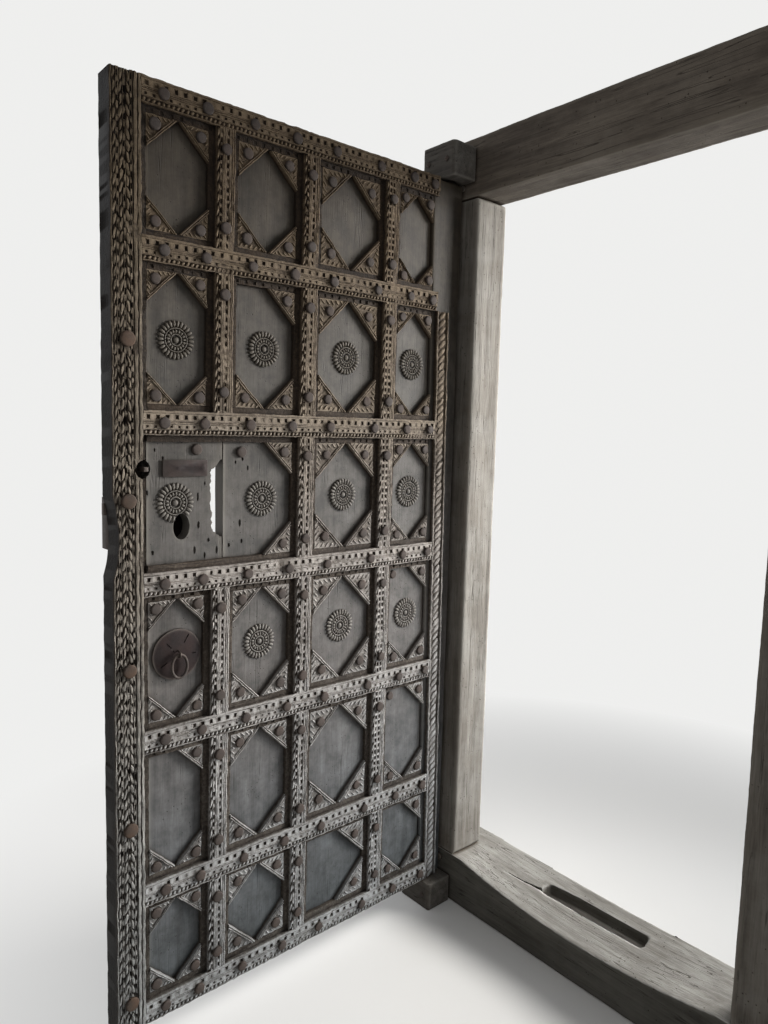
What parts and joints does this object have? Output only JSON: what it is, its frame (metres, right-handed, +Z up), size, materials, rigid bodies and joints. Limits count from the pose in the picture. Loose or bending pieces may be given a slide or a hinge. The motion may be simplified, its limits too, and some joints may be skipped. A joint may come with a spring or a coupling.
{
  "type": "carved wooden door with frame",
  "caption": "Old carved plank door with studded rails, mullions and rosettes, hung on pivots and standing open in its squared timber frame.",
  "frame": {"origin": "underside of the sill, midway across the opening and at mid depth of the jambs", "axes": "+X from the hinge jamb to the strike jamb, +Y to the outside, +Z up"},
  "size_m": [1.1906, 1.1288, 2.0947],
  "materials": {
    "frame_timber": "weathered, dry",
    "carved_timber": "weathered, dusty on the raised edges",
    "plank_timber": "weathered, worn smooth",
    "rusted_iron": "rusted, dull"
  },
  "bodies": {
    "frame": {"sill": "frame_timber", "lintel": "frame_timber", "hinge_jamb": "frame_timber", "strike_jamb": "frame_timber", "frame_pegs": "frame_timber", "lower_pivot_block": "frame_timber", "upper_pivot_block": "frame_timber", "frame_spikes": "rusted_iron", "bolt_keeper": "rusted_iron"},
    "leaf": {"back_batten_1": "plank_timber", "back_batten_2": "plank_timber", "back_batten_3": "plank_timber", "back_batten_4": "plank_timber", "band_studs": "rusted_iron", "bottom_rail": "carved_timber", "closing_stile": "carved_timber", "corner_blocks_1": "carved_timber", "corner_blocks_2": "carved_timber", "corner_blocks_3": "carved_timber", "corner_blocks_4": "carved_timber", "corner_studs": "rusted_iron", "field_board_1_lower": "plank_timber", "field_board_1_upper": "plank_timber", "field_board_2": "plank_timber", "field_board_3": "plank_timber", "field_board_4": "plank_timber", "hasp_strap": "rusted_iron", "hinge_border": "carved_timber", "hinge_stile": "plank_timber", "latch_spindle": "rusted_iron", "lock_board": "plank_timber", "lock_case": "rusted_iron", "mullion_1_row_1": "carved_timber", "mullion_1_row_2": "carved_timber", "mullion_1_row_4": "carved_timber", "mullion_1_row_5": "carved_timber", "mullion_1_row_6": "carved_timber", "mullion_2_row_1": "carved_timber", "mullion_2_row_2": "carved_timber", "mullion_2_row_3": "carved_timber", "mullion_2_row_4": "carved_timber", "mullion_2_row_5": "carved_timber", "mullion_2_row_6": "carved_timber", "mullion_3_row_1": "carved_timber", "mullion_3_row_2": "carved_timber", "mullion_3_row_3": "carved_timber", "mullion_3_row_4": "carved_timber", "mullion_3_row_5": "carved_timber", "mullion_3_row_6": "carved_timber", "rail_1": "carved_timber", "rail_2": "carved_timber", "rail_3": "carved_timber", "rail_4": "carved_timber", "rail_5": "carved_timber", "ring_plate": "rusted_iron", "ring_staple": "rusted_iron", "stile_studs": "rusted_iron", "top_rail": "carved_timber"},
    "ring": {"pull_ring": "rusted_iron"},
    "bolt": {"lock_bolt": "rusted_iron"}
  },
  "joints": [
    {"name": "leaf_swing", "type": "hinge", "parent": "frame", "child": "leaf", "pos_m": [-0.45638, -0.1005, 0.08185], "axis": [0, 0, 1], "range_deg": [-30, 90]},
    {"name": "ring_swing", "type": "hinge", "parent": "leaf", "child": "ring", "pos_m": [-0.42788, -0.86475, 0.8552], "axis": [0, -1, 0], "range_deg": [0, 110]},
    {"name": "bolt_slide", "type": "slide", "parent": "leaf", "child": "bolt", "axis": [0, -1, -0.01], "range_m": [0, 0.036]}
  ]
}
